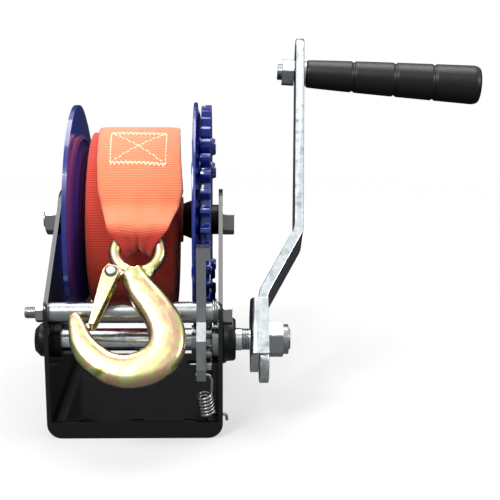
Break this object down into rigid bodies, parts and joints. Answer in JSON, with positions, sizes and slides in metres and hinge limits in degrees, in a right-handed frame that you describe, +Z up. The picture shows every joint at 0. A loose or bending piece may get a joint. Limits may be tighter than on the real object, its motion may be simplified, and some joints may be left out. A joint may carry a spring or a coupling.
{
  "type": "boat trailer winch",
  "caption": "Hand winch with a geared webbing drum in a U-shaped steel frame, a two-way pawl, a cranked handle and a strap hook.",
  "frame": {"origin": "underside of the base, midway between the cheeks and straight below the drum axle", "axes": "+X along the shafts towards the crank, +Y from the hook side to the rear, +Z up"},
  "size_m": [0.2794, 0.2093, 0.2121],
  "materials": {
    "frame_black": "gloss black powder coat",
    "drum_blue": "deep blue gloss paint",
    "black_steel": "black oxide steel",
    "zinc": "bright zinc plate",
    "chrome": "bright plated steel",
    "grip_black": "moulded black plastic",
    "webbing": "woven orange polyester webbing",
    "yellow_zinc": "yellow chromate zinc plate"
  },
  "bodies": {
    "base": {"frame": "frame_black", "gear_spacer": "black_steel", "flange_spacer": "black_steel", "axle_bolt": "zinc", "axle_washer": "zinc", "axle_nut": "zinc", "tie_bolt": "zinc", "tie_nut": "zinc", "tie_tube": "zinc", "pawl_sleeve": "zinc", "left_bush_ring": "black_steel", "left_bush": "black_steel", "right_bush": "black_steel", "pawl_spring": "zinc", "pawl_clip_spring": "zinc", "strap_end": "webbing"},
    "drum": {"drum_gear": "drum_blue", "gear_side_disc": "drum_blue", "gear_rivets": "drum_blue", "drum_flange": "drum_blue", "drum_hub": "black_steel", "strap_roll": "webbing", "strap_core": "webbing"},
    "crank": {"pinion_shaft": "chrome", "pinion": "zinc", "shaft_ring": "zinc", "thrust_disc": "zinc", "crank_arm": "chrome", "crank_saddle": "chrome", "crank_nut": "zinc", "grip_bolt": "zinc", "grip_washer": "zinc", "grip_nut": "zinc"},
    "grip_sleeve": {"grip": "grip_black"},
    "pawl_plate": {"pawl": "zinc"},
    "hook_body": {"hook": "yellow_zinc", "latch_rivet": "zinc", "latch_spring": "zinc"},
    "latch_plate": {"hook_latch": "yellow_zinc"}
  },
  "joints": [
    {"name": "drum_spin", "type": "hinge", "parent": "base", "child": "drum", "pos_m": [0, 0, 0.1065], "axis": [1, 0, 0], "continuous": true},
    {"name": "crank_spin", "type": "hinge", "parent": "base", "child": "crank", "pos_m": [0, -0.06346, 0.04995], "axis": [1, 0, 0], "continuous": true},
    {"name": "grip_spin", "type": "hinge", "parent": "crank", "child": "grip_sleeve", "pos_m": [0.1025, 0.0649, 0.19004], "axis": [0.9969, -0.053, -0.0578], "continuous": true},
    {"name": "pawl_swing", "type": "hinge", "parent": "base", "child": "pawl_plate", "pos_m": [0, -0.08, 0.0715], "axis": [1, 0, 0], "range_deg": [-12, 8], "deforming": ["pawl_spring"]},
    {"name": "hook_swing", "type": "hinge", "parent": "base", "child": "hook_body", "pos_m": [0, -0.06122, 0.11349], "axis": [-1, 0, 0], "range_deg": [0, 70]},
    {"name": "latch_swing", "type": "hinge", "parent": "hook_body", "child": "latch_plate", "pos_m": [-0.0122, -0.07866, 0.09308], "axis": [0, -0.7604, 0.6494], "range_deg": [0, 28], "stiffness_Nm_per_rad": 0.01, "springref_deg": -17.19}
  ],
  "couplings": [
    {"joint": "crank_spin", "follows": "drum_spin", "ratio": -4}
  ]
}
